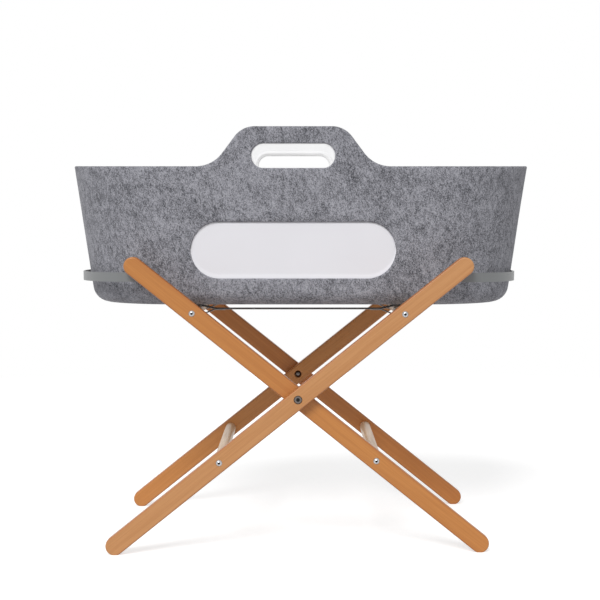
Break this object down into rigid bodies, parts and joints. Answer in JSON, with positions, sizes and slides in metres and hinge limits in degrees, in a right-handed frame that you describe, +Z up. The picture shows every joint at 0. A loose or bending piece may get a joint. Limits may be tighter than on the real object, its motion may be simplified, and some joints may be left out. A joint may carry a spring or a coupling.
{
  "type": "moses basket stand",
  "caption": "Folding baby basket stand of crossed wooden legs with round rails, steel end bars and webbing straps, carrying an oval felt basket with a mattress.",
  "frame": {"origin": "on the floor, midway between the two pivots and between the front and the back", "axes": "+X to the right along the basket, +Y from the front to the back, +Z up"},
  "size_m": [0.8184, 0.4382, 0.7136],
  "materials": {
    "leg_wood": "clear satin lacquer over warm brown beech",
    "rail_wood": "clear satin lacquer over pale beech",
    "bright_steel": "bright zinc plated",
    "insert_brass": "plain turned",
    "bar_paint": "satin grey powder coat",
    "washer_plastic": "plain moulded nylon",
    "webbing": "flat woven webbing",
    "felt": "thick mottled grey felt",
    "board": "plain hardboard",
    "panel_fabric": "smooth white coated fabric",
    "liner_fabric": "thin white cotton",
    "mattress_fabric": "quilted white cotton cover"
  },
  "bodies": {
    "frame_a": {"front_outer_leg": "leg_wood", "rear_inner_leg": "leg_wood", "lower_left_rail": "rail_wood", "upper_right_rail": "rail_wood", "rail_bolts_a": "bright_steel", "rail_inserts_a": "insert_brass", "right_end_bar": "bar_paint", "right_bar_screws": "bright_steel", "front_pivot_bolt": "bright_steel", "front_pivot_nut": "bright_steel", "front_pivot_washer": "washer_plastic", "rear_pivot_bolt": "bright_steel", "rear_pivot_nut": "bright_steel", "rear_pivot_washer": "washer_plastic", "front_strap": "webbing", "rear_strap": "webbing"},
    "frame_b": {"front_inner_leg": "leg_wood", "rear_outer_leg": "leg_wood", "lower_right_rail": "rail_wood", "upper_left_rail": "rail_wood", "rail_bolts_b": "bright_steel", "rail_inserts_b": "insert_brass", "left_end_bar": "bar_paint", "left_bar_screws": "bright_steel"},
    "basket": {"felt_basket": "felt", "front_window_panel": "panel_fabric", "rear_window_panel": "panel_fabric", "base_board": "board", "liner": "liner_fabric", "mattress": "mattress_fabric"}
  },
  "joints": [
    {"name": "fold", "type": "hinge", "parent": "frame_a", "child": "frame_b", "pos_m": [0, 0, 0.25781], "axis": [0, 1, 0], "range_deg": [0, 93], "deforming": ["front_strap", "rear_strap"]},
    {"name": "basket_lift", "type": "slide", "parent": "frame_a", "child": "basket", "axis": [0, 0, 1], "range_m": [0, 1.4]}
  ],
  "couplings": [
    {"joint": "basket_lift", "follows": "fold", "m_per_rad": 0.85}
  ]
}
